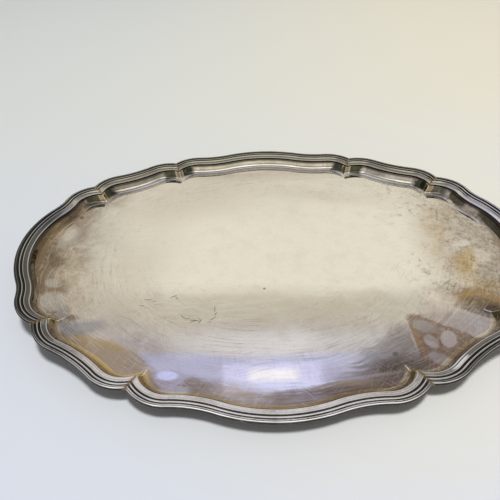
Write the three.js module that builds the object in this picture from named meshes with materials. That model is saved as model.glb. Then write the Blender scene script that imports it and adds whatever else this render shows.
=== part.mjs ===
import * as THREE from 'three';

// An oval silver salver: a tray body raised from one sheet, and a reeded border
// in eight mitred lengths, which lie on the body's flange.
// Millimetres, +Z up, long axis on X, origin under the middle of the base.

// Corners of the border, on the crest of its inner lip, in the +X +Y quarter
const SIDE_CUSP_X = 103.2;
const SIDE_CUSP_Y = 146.5;
const END_CUSP_X = 185.9;
const END_CUSP_Y = 92.8;

// Lobes between the corners: a round shoulder at each corner, then a hollow,
// then a long swell. Headings are degrees from the lobe's chord.
const SHOULDER_RADIUS = 27.1;
const SIDE_START_HEADING = 65.5;
const SIDE_SHOULDER_HEADING = -1;
const SIDE_HOLLOW_RADIUS = 113.5;
const SIDE_SWELL_HEADING = 18.5;
const END_START_HEADING = 81.2;
const END_SHOULDER_HEADING = 9.5;
const END_HOLLOW_RADIUS = 60.7;
const END_SWELL_HEADING = 30.2;
const CORNER_START_HEADING = 54.3;
const CORNER_SHOULDER_HEADING = -9;

// Sheet, well and wall
const SHEET_THICKNESS = 1.2;
const WELL_DEPTH = 9.7;
const WALL_SLOPE = 62;
const WALL_FOOT_RADIUS = 6;
const FLANGE_BEND_RADIUS = 1.8;
const FLANGE_SLOPE = 18.8;
const FLANGE_WIDTH = 7.8;

// The base is flat in its middle, and rises gently towards both ends
const FLAT_HALF_LENGTH = 40;
const FLAT_HALF_WIDTH = 105;
const END_RISE = 11;

// Border section, outwards from the lip: lip bead, hollow slope, small reed, valley, reed, edge bead
const LIP_RADIUS = 0.85;
const LIP_END_ANGLE = 70;
const SLOPE_START = 0.9;
const SLOPE_START_HEIGHT = 0.05;
const SLOPE_HOLLOW = 0.15;
const SMALL_REED_RADIUS = 0.5;
const SMALL_REED_PLACE = 3.45;
const SMALL_REED_HEIGHT = 1.7;
const VALLEY_PLACE = 4.75;
const VALLEY_HEIGHT = 1.2;
const REED_RADIUS = 0.8;
const REED_PLACE = 6.15;
const REED_HEIGHT = 2.3;
const EDGE_RADIUS = 1.9;
const EDGE_PLACE = 9.35;
const EDGE_HEIGHT = 3.2;
const APRON_DEPTH = 0.5;

// Clearances of the soldered seats and of the mitred joints
const SEAT_GAP = 0.3;
const MITRE_GAP = 0.3;

// Steps along each stretch of a lobe, and around the section
const SHOULDER_STEPS = 4;
const HOLLOW_STEPS = 3;
const SWELL_STEPS = 4;
const FLOOR_RINGS = 4;
const FOOT_STEPS = 4;
const BEND_STEPS = 2;

const LIP_LEVEL = SHEET_THICKNESS + WELL_DEPTH;
const rad = THREE.MathUtils.degToRad;

// A lobe's half, from its corner to its middle, as arcs that start at a heading.
// Its last radius follows from the chord, so the halves always meet.
function lobeHalf(chord, start, arcs) {
  const reach = arcs.slice(0, -1).reduce(
    (sum, arc, i) => {
      const from = i === 0 ? start : arcs[i - 1].to;
      return sum + arc.radius * Math.abs(Math.sin(from) - Math.sin(arc.to));
    }, 0);
  const before = arcs[arcs.length - 2].to;
  const last = { ...arcs[arcs.length - 1], radius: (chord / 2 - reach) / Math.abs(Math.sin(before)) };
  let place = new THREE.Vector2(0, 0);
  let heading = start;
  return [...arcs.slice(0, -1), last].map((arc) => {
    const turn = Math.sign(arc.to - heading);
    const stretch = { ...arc, from: heading, place, turn };
    place = onArc(stretch, arc.to, 0);
    heading = arc.to;
    return stretch;
  });
}

// The point of an arc where it has a heading, moved outwards by an offset
function onArc(arc, heading, offset) {
  const r = arc.radius * arc.turn;
  return new THREE.Vector2(
    arc.place.x + r * (Math.sin(heading) - Math.sin(arc.from)) - offset * Math.sin(heading),
    arc.place.y + r * (Math.cos(arc.from) - Math.cos(heading)) + offset * Math.cos(heading));
}

const sideArcs = [
  { radius: SHOULDER_RADIUS, to: rad(SIDE_SHOULDER_HEADING), steps: SHOULDER_STEPS },
  { radius: SIDE_HOLLOW_RADIUS, to: rad(SIDE_SWELL_HEADING), steps: HOLLOW_STEPS },
  { to: 0, steps: SWELL_STEPS },
];
const endArcs = [
  { radius: SHOULDER_RADIUS, to: rad(END_SHOULDER_HEADING), steps: SHOULDER_STEPS },
  { radius: END_HOLLOW_RADIUS, to: rad(END_SWELL_HEADING), steps: HOLLOW_STEPS },
  { to: 0, steps: SWELL_STEPS },
];
const cornerArcs = [
  { radius: SHOULDER_RADIUS, to: rad(CORNER_SHOULDER_HEADING), steps: SHOULDER_STEPS },
  { to: 0, steps: HOLLOW_STEPS },
];

// The eight lobes, clockwise seen from above, so that outwards lies on the left
const cusp = (x, y) => new THREE.Vector2(x, y);
const backLeft = cusp(-SIDE_CUSP_X, SIDE_CUSP_Y);
const backRight = cusp(SIDE_CUSP_X, SIDE_CUSP_Y);
const rightBack = cusp(END_CUSP_X, END_CUSP_Y);
const rightFront = cusp(END_CUSP_X, -END_CUSP_Y);
const frontRight = cusp(SIDE_CUSP_X, -SIDE_CUSP_Y);
const frontLeft = cusp(-SIDE_CUSP_X, -SIDE_CUSP_Y);
const leftFront = cusp(-END_CUSP_X, -END_CUSP_Y);
const leftBack = cusp(-END_CUSP_X, END_CUSP_Y);

function makeLobe(name, from, to, start, arcs) {
  const chord = to.clone().sub(from);
  return {
    name,
    from,
    length: chord.length(),
    angle: chord.angle(),
    start: rad(start),
    arcs: lobeHalf(chord.length(), rad(start), arcs),
  };
}

const lobes = [
  makeLobe('border_back', backLeft, backRight, SIDE_START_HEADING, sideArcs),
  makeLobe('border_back_right', backRight, rightBack, CORNER_START_HEADING, cornerArcs),
  makeLobe('border_right_end', rightBack, rightFront, END_START_HEADING, endArcs),
  makeLobe('border_front_right', rightFront, frontRight, CORNER_START_HEADING, cornerArcs),
  makeLobe('border_front', frontRight, frontLeft, SIDE_START_HEADING, sideArcs),
  makeLobe('border_front_left', frontLeft, leftFront, CORNER_START_HEADING, cornerArcs),
  makeLobe('border_left_end', leftFront, leftBack, END_START_HEADING, endArcs),
  makeLobe('border_back_left', leftBack, backLeft, CORNER_START_HEADING, cornerArcs),
];

// Half of the angle between the outward normals on both sides of a corner
function halfTurn(before, after) {
  const turn = after.angle + after.start - (before.angle - before.start);
  return Math.atan2(Math.sin(turn), Math.cos(turn)) / 2;
}

lobes.forEach((lobe, i) => {
  lobe.turnBefore = halfTurn(lobes[(i + 7) % 8], lobe);
  lobe.turnAfter = halfTurn(lobe, lobes[(i + 1) % 8]);
});

// How far a lobe at an offset starts ahead of its corner, along its own course.
// Inwards it runs on straight to the mitre, and outwards it is cut back to it.
function runOn(arc, offset, turn, gap) {
  if (offset < 0) return (-offset * Math.sin(turn) - gap / 2) / Math.cos(turn);
  const radius = arc.radius + offset;
  const aside = arc.radius * Math.sin(turn) - gap / 2;
  return -radius * (turn - Math.asin(aside / radius));
}

// Half of a lobe at an offset, as points from the mitre to the lobe's middle
function halfPoints(lobe, offset, turn, gap) {
  const [shoulder, ...others] = lobe.arcs;
  const radius = shoulder.radius + offset;
  const ahead = runOn(shoulder, offset, turn, gap);
  const length = ahead + radius * (shoulder.from - shoulder.to);
  const points = [];
  for (let j = 0; j < shoulder.steps; j++) {
    const along = (length * j) / shoulder.steps - ahead;
    const heading = shoulder.from - Math.max(along, 0) / radius;
    const point = onArc(shoulder, heading, offset);
    const straight = Math.min(along, 0);
    points.push(point.add(new THREE.Vector2(Math.cos(heading), Math.sin(heading)).multiplyScalar(straight)));
  }
  for (const arc of others) {
    for (let j = 0; j < arc.steps; j++) {
      points.push(onArc(arc, arc.from + ((arc.to - arc.from) * j) / arc.steps, offset));
    }
  }
  const last = others[others.length - 1];
  points.push(onArc(last, last.to, offset));
  return points;
}

// A whole lobe at an offset, corner to corner, in the tray's own place
function lobePoints(lobe, offset, gap) {
  const first = halfPoints(lobe, offset, lobe.turnBefore, gap);
  const second = halfPoints(lobe, offset, lobe.turnAfter, gap)
    .map((p) => new THREE.Vector2(lobe.length - p.x, p.y))
    .reverse();
  return [...first, ...second.slice(1)].map((p) =>
    p.rotateAround(new THREE.Vector2(0, 0), lobe.angle).add(lobe.from));
}

// The whole outline at an offset, closed, with one point at each corner
function ringPoints(offset) {
  return lobes.flatMap((lobe) => lobePoints(lobe, offset, 0).slice(0, -1));
}

// The rise of base, wall and border alike towards the ends
const halfLength = Math.max(...ringPoints(EDGE_PLACE + EDGE_RADIUS).map((p) => p.x));
function rise(x) {
  const past = Math.max(0, Math.abs(x) - FLAT_HALF_LENGTH);
  return END_RISE * (past / (halfLength - FLAT_HALF_LENGTH)) ** 2;
}
const lift = (p, height) => new THREE.Vector3(p.x, p.y, height + rise(p.x));

// Points of a round part of a section, from one angle to another
function round(place, height, radius, from, to, steps) {
  return Array.from({ length: steps + 1 }, (_, i) => {
    const angle = rad(from + ((to - from) * i) / steps);
    return [place + radius * Math.cos(angle), height + radius * Math.sin(angle)];
  });
}

// A closed triangle mesh from shared vertices
function solid(vertices, triangles) {
  const geometry = new THREE.BufferGeometry();
  geometry.setAttribute('position', new THREE.Float32BufferAttribute(vertices.flatMap((v) => [v.x, v.y, v.z]), 3));
  geometry.setIndex(triangles);
  geometry.computeVertexNormals();
  return geometry;
}

// Tray body: floor, foot, wall and flange, each face with its twin below it
const slope = rad(WALL_SLOPE);
const flange = rad(FLANGE_SLOPE);
const lipInside = -LIP_RADIUS;
const seatLevel = -2 * LIP_RADIUS - SEAT_GAP;
const flangeTop = (place) => seatLevel + (place - lipInside) * Math.tan(flange);

// One face of the body's section, from the flange's edge down to the well.
// depth is how far the face lies under the upper one.
function bodyFace(depth) {
  const bend = FLANGE_BEND_RADIUS;
  const foot = WALL_FOOT_RADIUS;
  const bendCentre = [lipInside + bend * Math.sin(flange), seatLevel - bend * Math.cos(flange)];
  const footHeight = -WELL_DEPTH + foot;
  const drop = bendCentre[1] + bend * Math.cos(slope) - (footHeight - foot * Math.cos(slope));
  const footPlace = bendCentre[0] - bend * Math.sin(slope) - drop / Math.tan(slope) - foot * Math.sin(slope);
  const edge = lipInside + FLANGE_WIDTH;
  return [
    [edge, flangeTop(edge) - depth / Math.cos(flange)],
    ...round(...bendCentre, bend - depth, 90 + FLANGE_SLOPE, 90 + WALL_SLOPE, BEND_STEPS),
    ...round(footPlace, footHeight, foot + depth, WALL_SLOPE - 90, -90, FOOT_STEPS),
  ];
}

// Rings of the floor, from the wall's foot to the flat middle of the base
function floorRings(footRow, height) {
  const rings = [];
  for (let i = 1; i <= FLOOR_RINGS; i++) {
    const share = i / FLOOR_RINGS;
    rings.push(footRow.map((p) => {
      const angle = Math.atan2(p.y / SIDE_CUSP_Y, p.x / END_CUSP_X);
      const x = THREE.MathUtils.lerp(p.x, FLAT_HALF_LENGTH * Math.cos(angle), share);
      const y = THREE.MathUtils.lerp(p.y, FLAT_HALF_WIDTH * Math.sin(angle), share);
      return lift({ x, y }, height);
    }));
  }
  return rings;
}

function makeBody() {
  const rowsOf = (face) => face.map(([offset, height]) =>
    ringPoints(offset).map((p) => lift(p, LIP_LEVEL + height)));
  const upper = rowsOf(bodyFace(0));
  const lower = rowsOf(bodyFace(SHEET_THICKNESS));
  const upperFloor = floorRings(upper[upper.length - 1], SHEET_THICKNESS);
  const lowerFloor = floorRings(lower[lower.length - 1], 0);
  const rows = [...upperFloor.reverse(), ...upper.reverse(), ...lower, ...lowerFloor];
  const count = rows[0].length;
  const vertices = rows.flat();
  const triangles = [];
  for (let k = 0; k + 1 < rows.length; k++) {
    for (let j = 0; j < count; j++) {
      const next = (j + 1) % count;
      const [a, b, c, d] = [k * count + j, k * count + next, (k + 1) * count + next, (k + 1) * count + j];
      triangles.push(a, b, c, a, c, d);
    }
  }
  const top = vertices.push(new THREE.Vector3(0, 0, SHEET_THICKNESS)) - 1;
  const bottom = vertices.push(new THREE.Vector3(0, 0, 0)) - 1;
  const lastRow = (rows.length - 1) * count;
  for (let j = 0; j < count; j++) {
    const next = (j + 1) % count;
    triangles.push(top, next, j, bottom, lastRow + j, lastRow + next);
  }
  return solid(vertices, triangles);
}

// Border section, closed, from under the lip over the reeds to under the edge bead
function borderSection() {
  const seat = (place) => flangeTop(place) + SEAT_GAP;
  const inner = lipInside + FLANGE_WIDTH + SEAT_GAP;
  const smallReed = round(SMALL_REED_PLACE, SMALL_REED_HEIGHT - SMALL_REED_RADIUS, SMALL_REED_RADIUS, 160, 40, 2);
  const slopeMiddle = (SLOPE_START + smallReed[0][0]) / 2;
  return [
    [lipInside + LIP_RADIUS / 2, seat(lipInside + LIP_RADIUS / 2)],
    ...round(0, -LIP_RADIUS, LIP_RADIUS, 190, LIP_END_ANGLE, 4),
    [SLOPE_START, SLOPE_START_HEIGHT],
    [slopeMiddle, (SLOPE_START_HEIGHT + smallReed[0][1]) / 2 - SLOPE_HOLLOW],
    ...smallReed,
    [VALLEY_PLACE, VALLEY_HEIGHT],
    ...round(REED_PLACE, REED_HEIGHT - REED_RADIUS, REED_RADIUS, 160, 10, 3),
    ...round(EDGE_PLACE, EDGE_HEIGHT - EDGE_RADIUS, EDGE_RADIUS, 170, -90, 7),
    [inner, EDGE_HEIGHT - 2 * EDGE_RADIUS - APRON_DEPTH],
    [inner, seat(inner)],
  ];
}

// One length of border, swept along its lobe and cut square to the mitres
function makeBorder(lobe) {
  const section = borderSection();
  const rows = section.map(([offset, height]) =>
    lobePoints(lobe, offset, MITRE_GAP).map((p) => lift(p, LIP_LEVEL + height)));
  const count = rows[0].length;
  const triangles = [];
  for (let k = 0; k < rows.length; k++) {
    const below = (k + 1) % rows.length;
    for (let j = 0; j + 1 < count; j++) {
      const [a, b, c, d] = [k * count + j, k * count + j + 1, below * count + j + 1, below * count + j];
      triangles.push(a, b, c, a, c, d);
    }
  }
  const outline = section.map(([x, y]) => new THREE.Vector2(x, y));
  for (const [a, b, c] of THREE.ShapeUtils.triangulateShape(outline, [])) {
    const end = count - 1;
    triangles.push(a * count, c * count, b * count);
    triangles.push(a * count + end, b * count + end, c * count + end);
  }
  return solid(rows.flat(), triangles);
}

const bodySilver = new THREE.MeshStandardMaterial({ color: 0xd9d2c2, roughness: 0.35, metalness: 1 });
const borderSilver = new THREE.MeshStandardMaterial({ color: 0xc9c6c4, roughness: 0.2, metalness: 1 });

const salver = new THREE.Group();

const body = new THREE.Mesh(makeBody(), bodySilver);
body.name = 'tray_body';
salver.add(body);

for (const lobe of lobes) {
  const border = new THREE.Mesh(makeBorder(lobe), borderSilver);
  border.name = lobe.name;
  salver.add(border);
}

export default salver;
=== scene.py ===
import logging
import math
from collections.abc import Sequence
from dataclasses import dataclass, field
from enum import Enum
from typing import Any

import bpy
import numpy as np
from mathutils import Matrix, Vector


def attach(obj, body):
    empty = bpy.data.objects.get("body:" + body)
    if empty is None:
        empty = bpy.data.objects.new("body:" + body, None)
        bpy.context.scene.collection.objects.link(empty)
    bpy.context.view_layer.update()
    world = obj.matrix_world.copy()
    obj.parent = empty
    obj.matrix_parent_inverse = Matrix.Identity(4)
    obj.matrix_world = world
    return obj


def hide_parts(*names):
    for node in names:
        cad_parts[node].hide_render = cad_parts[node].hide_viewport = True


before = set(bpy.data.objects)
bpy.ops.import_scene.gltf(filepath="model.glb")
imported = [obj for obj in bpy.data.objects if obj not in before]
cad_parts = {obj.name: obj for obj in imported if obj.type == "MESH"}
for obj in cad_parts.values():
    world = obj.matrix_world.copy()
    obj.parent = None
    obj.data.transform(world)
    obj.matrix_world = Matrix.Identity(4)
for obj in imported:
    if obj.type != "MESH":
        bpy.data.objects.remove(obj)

LOG = logging.getLogger("salver")
MM = 0.001
IMAGE_WIDTH = 500
Colour = tuple[float, float, float]
Pair = tuple[float, float]
Span = tuple[float, float, float, float]
Marks = tuple[Pair, ...]
Socket = bpy.types.NodeSocket
Value = Socket | float
Tint = Socket | Colour


class Slot(Enum):
    """The record's material slots."""

    SHEET = "sheet_silver"
    BORDER = "border_silver"


class Stretch(Enum):
    """The kinds of lobe between two corners of the border."""

    SIDE = "side"
    END = "end"
    CORNER = "corner"


@dataclass(frozen=True)
class Arc:
    """A round stretch of a lobe, in the lobe's own place, in millimetres."""

    x: float
    y: float
    radius: float
    start: float
    end: float
    steps: int

    def at(self, heading: np.ndarray | float, offset: float) -> np.ndarray:
        """Points where the arc has a heading, moved outwards.

        Args:
            heading: heading in radians, from the lobe's chord.
            offset: distance outwards, in millimetres.

        Returns:
            An array of points, one row each.
        """
        signed = self.radius if self.end > self.start else -self.radius
        x = self.x + signed * (np.sin(heading) - math.sin(self.start)) - offset * np.sin(heading)
        y = self.y + signed * (math.cos(self.start) - np.cos(heading)) + offset * np.cos(heading)
        return np.stack([x, y], -1)


@dataclass
class Lobe:
    """One lobe of the outline, from one corner of the border to the next."""

    name: str
    kind: Stretch
    begin: tuple[float, float]
    finish: tuple[float, float]
    start: float
    arcs: list[Arc] = field(default_factory=list)
    turn_before: float = 0.0
    turn_after: float = 0.0
    crowding: float = 1.35

    @property
    def chord(self) -> np.ndarray:
        """The way from the first corner to the second."""
        return np.subtract(self.finish, self.begin)

    @property
    def angle(self) -> float:
        """Direction of the chord, in radians."""
        return math.atan2(self.chord[1], self.chord[0])

    def _half(self, offset: float, turn: float, gap: float) -> np.ndarray:
        """Points from the mitre at one corner to the lobe's middle.

        Args:
            offset: distance outwards from the lip's crest.
            turn: half of the angle between the normals at the corner.
            gap: width of the mitred joint.

        Returns:
            Points in the lobe's own place.
        """
        shoulder, *others = self.arcs
        radius = shoulder.radius + offset
        if offset < 0:
            ahead = (-offset * math.sin(turn) - gap / 2) / math.cos(turn)
        else:
            aside = shoulder.radius * math.sin(turn) - gap / 2
            ahead = -radius * (turn - math.asin(aside / radius))
        length = ahead + radius * (shoulder.start - shoulder.end)
        along = length * (np.arange(shoulder.steps) / shoulder.steps) ** self.crowding - ahead
        heading = shoulder.start - np.maximum(along, 0) / radius
        straight = np.minimum(along, 0)[:, None] * np.stack([np.cos(heading), np.sin(heading)], -1)
        points = [shoulder.at(heading, offset) + straight]
        for arc in others:
            share = np.arange(arc.steps) / arc.steps
            points.append(arc.at(arc.start + (arc.end - arc.start) * share, offset))
        points.append(others[-1].at(np.array([others[-1].end]), offset))
        return np.concatenate(points)

    def course(self, offset: float, gap: float = 0.0) -> np.ndarray:
        """The whole lobe at an offset, corner to corner, in the salver's place.

        Args:
            offset: distance outwards from the lip's crest, in millimetres.
            gap: width of the mitred joint, in millimetres.

        Returns:
            Points in millimetres, one row each.
        """
        first = self._half(offset, self.turn_before, gap)
        second = self._half(offset, self.turn_after, gap)[::-1][1:]
        second = np.stack([np.linalg.norm(self.chord) - second[:, 0], second[:, 1]], -1)
        local = np.concatenate([first, second])
        cos, sin = math.cos(self.angle), math.sin(self.angle)
        return local @ np.array([[cos, sin], [-sin, cos]]) + np.array(self.begin)


@dataclass
class Outline:
    """The lobed outline of the lip's crest, and the rise of the whole salver."""

    side_cusp: tuple[float, float] = (103.2, 146.5)
    end_cusp: tuple[float, float] = (185.9, 92.8)
    shoulder_radius: float = 27.1
    headings: dict[Stretch, tuple[float, ...]] = field(default_factory=lambda: {
        Stretch.SIDE: (65.5, -1.0, 18.5),
        Stretch.END: (81.2, 9.5, 30.2),
        Stretch.CORNER: (54.3, -9.0),
    })
    hollow_radius: dict[Stretch, float] = field(default_factory=lambda: {
        Stretch.SIDE: 113.5,
        Stretch.END: 60.7,
    })
    steps: tuple[int, int, int] = (32, 14, 20)
    corner_reach: float = 45.0
    far_away: float = 100.0
    flat_half_length: float = 40.0
    end_rise: float = 11.0
    half_length: float = 240.6
    lobes: list[Lobe] = field(default_factory=list)

    def __post_init__(self) -> None:
        """Lays the eight lobes round, clockwise seen from above."""
        (sx, sy), (ex, ey) = self.side_cusp, self.end_cusp
        corners = [(-sx, sy), (sx, sy), (ex, ey), (ex, -ey), (sx, -sy), (-sx, -sy), (-ex, -ey), (-ex, ey)]
        names = ["back", "back_right", "right_end", "front_right",
                 "front", "front_left", "left_end", "back_left"]
        kinds = [Stretch.SIDE, Stretch.CORNER, Stretch.END, Stretch.CORNER] * 2
        for i, (name, kind) in enumerate(zip(names, kinds)):
            start = math.radians(self.headings[kind][0])
            lobe = Lobe("border_" + name, kind, corners[i], corners[(i + 1) % len(corners)], start)
            lobe.arcs = self._arcs(kind, float(np.linalg.norm(lobe.chord)))
            self.lobes.append(lobe)
        for i, lobe in enumerate(self.lobes):
            after = self.lobes[(i + 1) % len(self.lobes)]
            turn = after.angle + after.start - lobe.angle + lobe.start
            lobe.turn_after = after.turn_before = math.atan2(math.sin(turn), math.cos(turn)) / 2

    def _arcs(self, kind: Stretch, chord: float) -> list[Arc]:
        """The arcs of half a lobe. The last radius follows from the chord.

        Args:
            kind: which lobe it is.
            chord: distance between its corners.

        Returns:
            The arcs, corner to middle.
        """
        turns = [math.radians(h) for h in self.headings[kind]] + [0.0]
        radii = [self.shoulder_radius]
        steps = [self.steps[0], self.steps[1]]
        if kind is not Stretch.CORNER:
            radii.append(self.hollow_radius[kind])
            steps.append(self.steps[2])
        reach = sum(r * abs(math.sin(a) - math.sin(b)) for r, a, b in zip(radii, turns, turns[1:]))
        radii.append((chord / 2 - reach) / abs(math.sin(turns[-2])))
        arcs: list[Arc] = []
        x = y = 0.0
        for radius, a, b, count in zip(radii, turns, turns[1:], steps):
            arcs.append(Arc(x, y, radius, a, b, count))
            x, y = arcs[-1].at(b, 0.0)
        return arcs

    def ring(self, offset: float) -> np.ndarray:
        """The whole outline at an offset, closed, one point at each corner."""
        return np.concatenate([lobe.course(offset)[:-1] for lobe in self.lobes])

    def rise(self, x: np.ndarray) -> np.ndarray:
        """How far the salver stands up at a place along its length."""
        past = np.maximum(0.0, np.abs(x) - self.flat_half_length)
        return self.end_rise * (past / (self.half_length - self.flat_half_length)) ** 2

    def mitres(self) -> list[tuple[np.ndarray, np.ndarray]]:
        """The corners of the lip.

        Returns:
            Each corner, with the unit vector outwards along its mitre.
        """
        found = []
        for lobe in self.lobes:
            heading = lobe.angle + lobe.start - lobe.turn_before
            found.append((np.array(lobe.begin), np.array([-math.sin(heading), math.cos(heading)])))
        return found

    def aside(self, points: np.ndarray) -> np.ndarray:
        """Distance of each point from the line of the nearest mitre.

        Args:
            points: rows of x and y, in millimetres.

        Returns:
            One distance a row, large where no corner is near.
        """
        found = []
        for corner, outward in self.mitres():
            away = points[:, :2] - corner
            far = np.linalg.norm(away, axis=1) > self.corner_reach
            found.append(np.abs(away @ np.array([outward[1], -outward[0]])) + self.far_away * far)
        return np.min(found, axis=0)


def round_points(place: float, height: float, radius: float, start: float, end: float,
                 steps: int) -> np.ndarray:
    """Points of a round part of a section.

    Args:
        place: distance outwards of its centre, in millimetres.
        height: height of its centre.
        radius: its radius.
        start: first angle, in degrees.
        end: last angle, in degrees.
        steps: how many steps between them.

    Returns:
        Points as rows of place and height.
    """
    angle = np.radians(np.linspace(start, end, steps + 1))
    return np.stack([place + radius * np.cos(angle), height + radius * np.sin(angle)], -1)


def quads(rows: int, count: int, joined_rows: bool, joined_points: bool) -> list[tuple[int, ...]]:
    """Four-sided faces between neighbouring rows of points.

    Args:
        rows: how many rows.
        count: points in each row.
        joined_rows: whether the last row meets the first.
        joined_points: whether each row's last point meets its first.

    Returns:
        The faces as indices.
    """
    faces = []
    for k in range(rows if joined_rows else rows - 1):
        below = (k + 1) % rows
        for j in range(count if joined_points else count - 1):
            after = (j + 1) % count
            faces.append((k * count + j, k * count + after, below * count + after, below * count + j))
    return faces


def mesh_piece(name: str, points: np.ndarray, faces: list[tuple[int, ...]],
               fields: dict[str, np.ndarray]) -> bpy.types.Object:
    """A smooth mesh object from points in millimetres.

    Args:
        name: the piece's name.
        points: its points, one row each, in millimetres.
        faces: its faces as indices.
        fields: one value a point for each named attribute that a finish reads.

    Returns:
        The object, in the scene.
    """
    mesh = bpy.data.meshes.new(name)
    mesh.from_pydata((points * MM).tolist(), [], faces)
    for key, values in fields.items():
        attribute = mesh.attributes.new(key, "FLOAT", "POINT")
        attribute.data.foreach_set("value", np.asarray(values, np.float32))
    mesh.shade_smooth()
    mesh.update()
    piece = bpy.data.objects.new(name, mesh)
    bpy.context.scene.collection.objects.link(piece)
    return piece


@dataclass(frozen=True)
class Noise:
    """A kind of noise: spots a metre, detail, roughness, and how it is warped first."""

    scale: float
    detail: float
    roughness: float
    warp_scale: float = 0.0
    warp_reach: float = 0.0


class Breakup(Enum):
    """How the rim of a patch of tarnish breaks up."""

    CRISP = "crisp"
    SOFT = "soft"
    STREAKY = "streaky"
    CURVED = "curved"
    MOTTLED = "mottled"


@dataclass(frozen=True)
class Stain:
    """A patch of tarnish, or a mark, seen from above. Lengths are millimetres, the turn is degrees."""

    x: float
    y: float
    half_x: float
    half_y: float
    turn: float
    colour: Colour
    strength: float
    soft: float = 0.9
    breakup: Breakup = Breakup.SOFT
    square: bool = False


class Graph:
    """A short way to lay nodes in one node tree."""

    warp_detail: float = 3.0
    warp_roughness: float = 0.55

    def __init__(self, tree: bpy.types.NodeTree) -> None:
        """Clears the tree and starts from nothing."""
        self.tree = tree
        tree.nodes.clear()

    def node(self, kind: str, inputs: dict[str | int, Any] | None = None, **settings: Any) -> bpy.types.Node:
        """Adds a node.

        Args:
            kind: its type, without the ShaderNode in front.
            inputs: values or sockets for its inputs, by name or number.
            settings: properties of the node.

        Returns:
            The node.
        """
        made = self.tree.nodes.new("ShaderNode" + kind)
        for key, value in settings.items():
            setattr(made, key, value)
        for key, value in (inputs or {}).items():
            self.feed(made.inputs[key], value)
        return made

    def feed(self, socket: Socket, value: Any) -> None:
        """Links a socket into an input, or writes a value there.

        Args:
            socket: the input.
            value: a socket, or the value itself.
        """
        if isinstance(value, bpy.types.NodeSocket):
            self.tree.links.new(value, socket)
        else:
            socket.default_value = value

    def attribute(self, name: str) -> Socket:
        """A value that the mesh keeps at each point."""
        return self.node("Attribute", attribute_name=name).outputs["Fac"]

    def math(self, operation: str, a: Value, b: Value = 0.0, c: Value = 0.0, clamp: bool = False) -> Socket:
        """The result of a sum on one to three values."""
        inputs = {0: a, 1: b, 2: c}
        return self.node("Math", inputs, operation=operation, use_clamp=clamp).outputs[0]

    def times(self, first: Value, *others: Value) -> Value:
        """The product of several values.

        Args:
            first: the first value.
            others: the rest of them.

        Returns:
            The product.
        """
        for other in others:
            first = self.math("MULTIPLY", first, other)
        return first

    def moved(self, value: Value, *parts: tuple[Socket, float]) -> Value:
        """A value moved by noises round nought.

        Args:
            value: the value.
            parts: pairs of a noise, from nought to one, and its weight.

        Returns:
            The moved value.
        """
        for noise, weight in parts:
            value = self.math("MULTIPLY_ADD", self.math("SUBTRACT", noise, 0.5), weight, value)
        return value

    def step(self, value: Value, low: float, high: float, to_low: float = 0.0,
             to_high: float = 1.0) -> Socket:
        """A soft step from one value to another between two limits."""
        inputs = {"Value": value, "From Min": low, "From Max": high, "To Min": to_low, "To Max": to_high}
        return self.node("MapRange", inputs, interpolation_type="SMOOTHSTEP").outputs["Result"]

    def mix(self, share: Value, first: Tint, second: Tint) -> Socket:
        """A mix of two colours.

        Args:
            share: how much of the second colour shows, from nought to one.
            first: the colour below.
            second: the colour laid over it.

        Returns:
            The mixed colour.
        """
        made = self.node("Mix", data_type="RGBA")
        self.feed(made.inputs[0], share)
        for socket, value in ((made.inputs[6], first), (made.inputs[7], second)):
            self.feed(socket, (*value, 1.0) if isinstance(value, tuple) else value)
        return made.outputs[2]

    def spots(self, vector: Socket, scale: float, detail: float, roughness: float) -> Socket:
        """A noise texture of a scale in spots a metre."""
        inputs = {"Vector": vector, "Scale": scale, "Detail": detail, "Roughness": roughness}
        return self.node("TexNoise", inputs).outputs["Fac"]

    def metal(self, colour: Socket, rough: Value, normal: Socket) -> None:
        """Ends the graph in a metal.

        Args:
            colour: its colour.
            rough: its roughness.
            normal: its bumped normal.
        """
        inputs = {"Base Color": colour, "Roughness": rough, "Metallic": 1.0, "Normal": normal}
        shader = self.node("BsdfPrincipled", inputs)
        self.node("OutputMaterial", {"Surface": shader.outputs[0]})

    def noise(self, vector: Socket, noise: Noise) -> Socket:
        """A noise of one kind at a place.

        Args:
            vector: the place, in metres.
            noise: the kind of noise.

        Returns:
            Its value, from nought to one.
        """
        if noise.warp_reach:
            vector = self.warped(vector, noise.warp_scale, noise.warp_reach)
        return self.spots(vector, noise.scale, noise.detail, noise.roughness)

    def stretch(self, vector: Socket, scale: tuple[float, float, float], turn: float) -> Socket:
        """A vector turned about Z, then scaled apart along its axes.

        Args:
            vector: the vector.
            scale: spots a metre along each axis.
            turn: the turn, in degrees.

        Returns:
            The stretched vector.
        """
        spread = tuple(1 / share for share in scale)
        inputs = {"Vector": vector, "Scale": spread, "Rotation": (0.0, 0.0, math.radians(turn))}
        return self.node("Mapping", inputs, vector_type="TEXTURE").outputs[0]

    def warped(self, vector: Socket, scale: float, reach: float) -> Socket:
        """A vector moved about by noise.

        Args:
            vector: the vector.
            scale: spots a metre.
            reach: how far it moves between the noise's ends, in metres.

        Returns:
            The moved vector.
        """
        inputs = {"Vector": vector, "Scale": scale, "Detail": self.warp_detail,
                  "Roughness": self.warp_roughness}
        drift = self.node("TexNoise", inputs).outputs["Color"]
        centred = self.node("VectorMath", {0: drift, 1: (0.5, 0.5, 0.5)}, operation="SUBTRACT").outputs[0]
        shift = self.node("VectorMath", {0: centred, "Scale": reach}, operation="SCALE").outputs[0]
        return self.node("VectorMath", {0: vector, 1: shift}, operation="ADD").outputs[0]

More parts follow.
